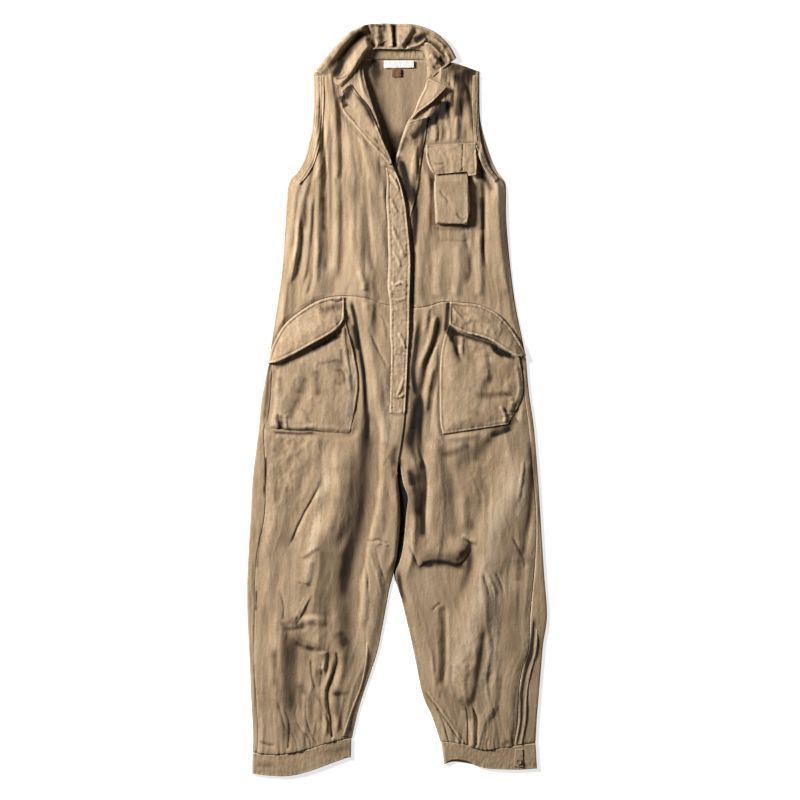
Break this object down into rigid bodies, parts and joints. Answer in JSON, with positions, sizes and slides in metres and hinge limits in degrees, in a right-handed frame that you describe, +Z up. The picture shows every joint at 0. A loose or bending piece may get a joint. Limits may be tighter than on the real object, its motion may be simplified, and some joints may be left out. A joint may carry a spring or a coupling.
{
  "type": "sleeveless jumpsuit",
  "caption": "Sleeveless cotton twill jumpsuit laid flat: fold-over collar, deep V front with fly placket, chest and hip flap pockets, tapered legs with cuffs.",
  "frame": {"origin": "on the surface it lies on, under the middle of the garment's box", "axes": "+X to the wearer's left, +Y from the hems to the collar, +Z up from the surface through the front"},
  "size_m": [0.5992, 1.5027, 0.0246],
  "materials": {
    "twill": "washed cotton twill, creased, khaki brown",
    "label": "woven satin label, bare",
    "hanger_tab": "brown woven tab",
    "button": "horn-like matt button"
  },
  "bodies": {
    "root": {"armhole_binding_left": "twill", "armhole_binding_right": "twill", "back_bodice": "twill", "back_leg_left": "twill", "back_leg_right": "twill", "chest_flap": "twill", "chest_pocket": "twill", "collar": "twill", "cuff_button_left": "button", "cuff_left": "twill", "cuff_right": "twill", "cuff_tab_left": "twill", "fly_placket": "twill", "front_bodice_left": "twill", "front_bodice_right": "twill", "front_facing_right": "twill", "front_leg_left": "twill", "front_leg_right": "twill", "hanger_loop": "hanger_tab", "hip_flap_left": "twill", "hip_flap_right": "twill", "hip_pocket_left": "twill", "hip_pocket_right": "twill", "lapel_left": "twill", "neck_band": "twill", "neck_label": "label", "under_placket": "twill", "vent_placket_left": "twill", "vent_placket_right": "twill"}
  },
  "joints": []
}
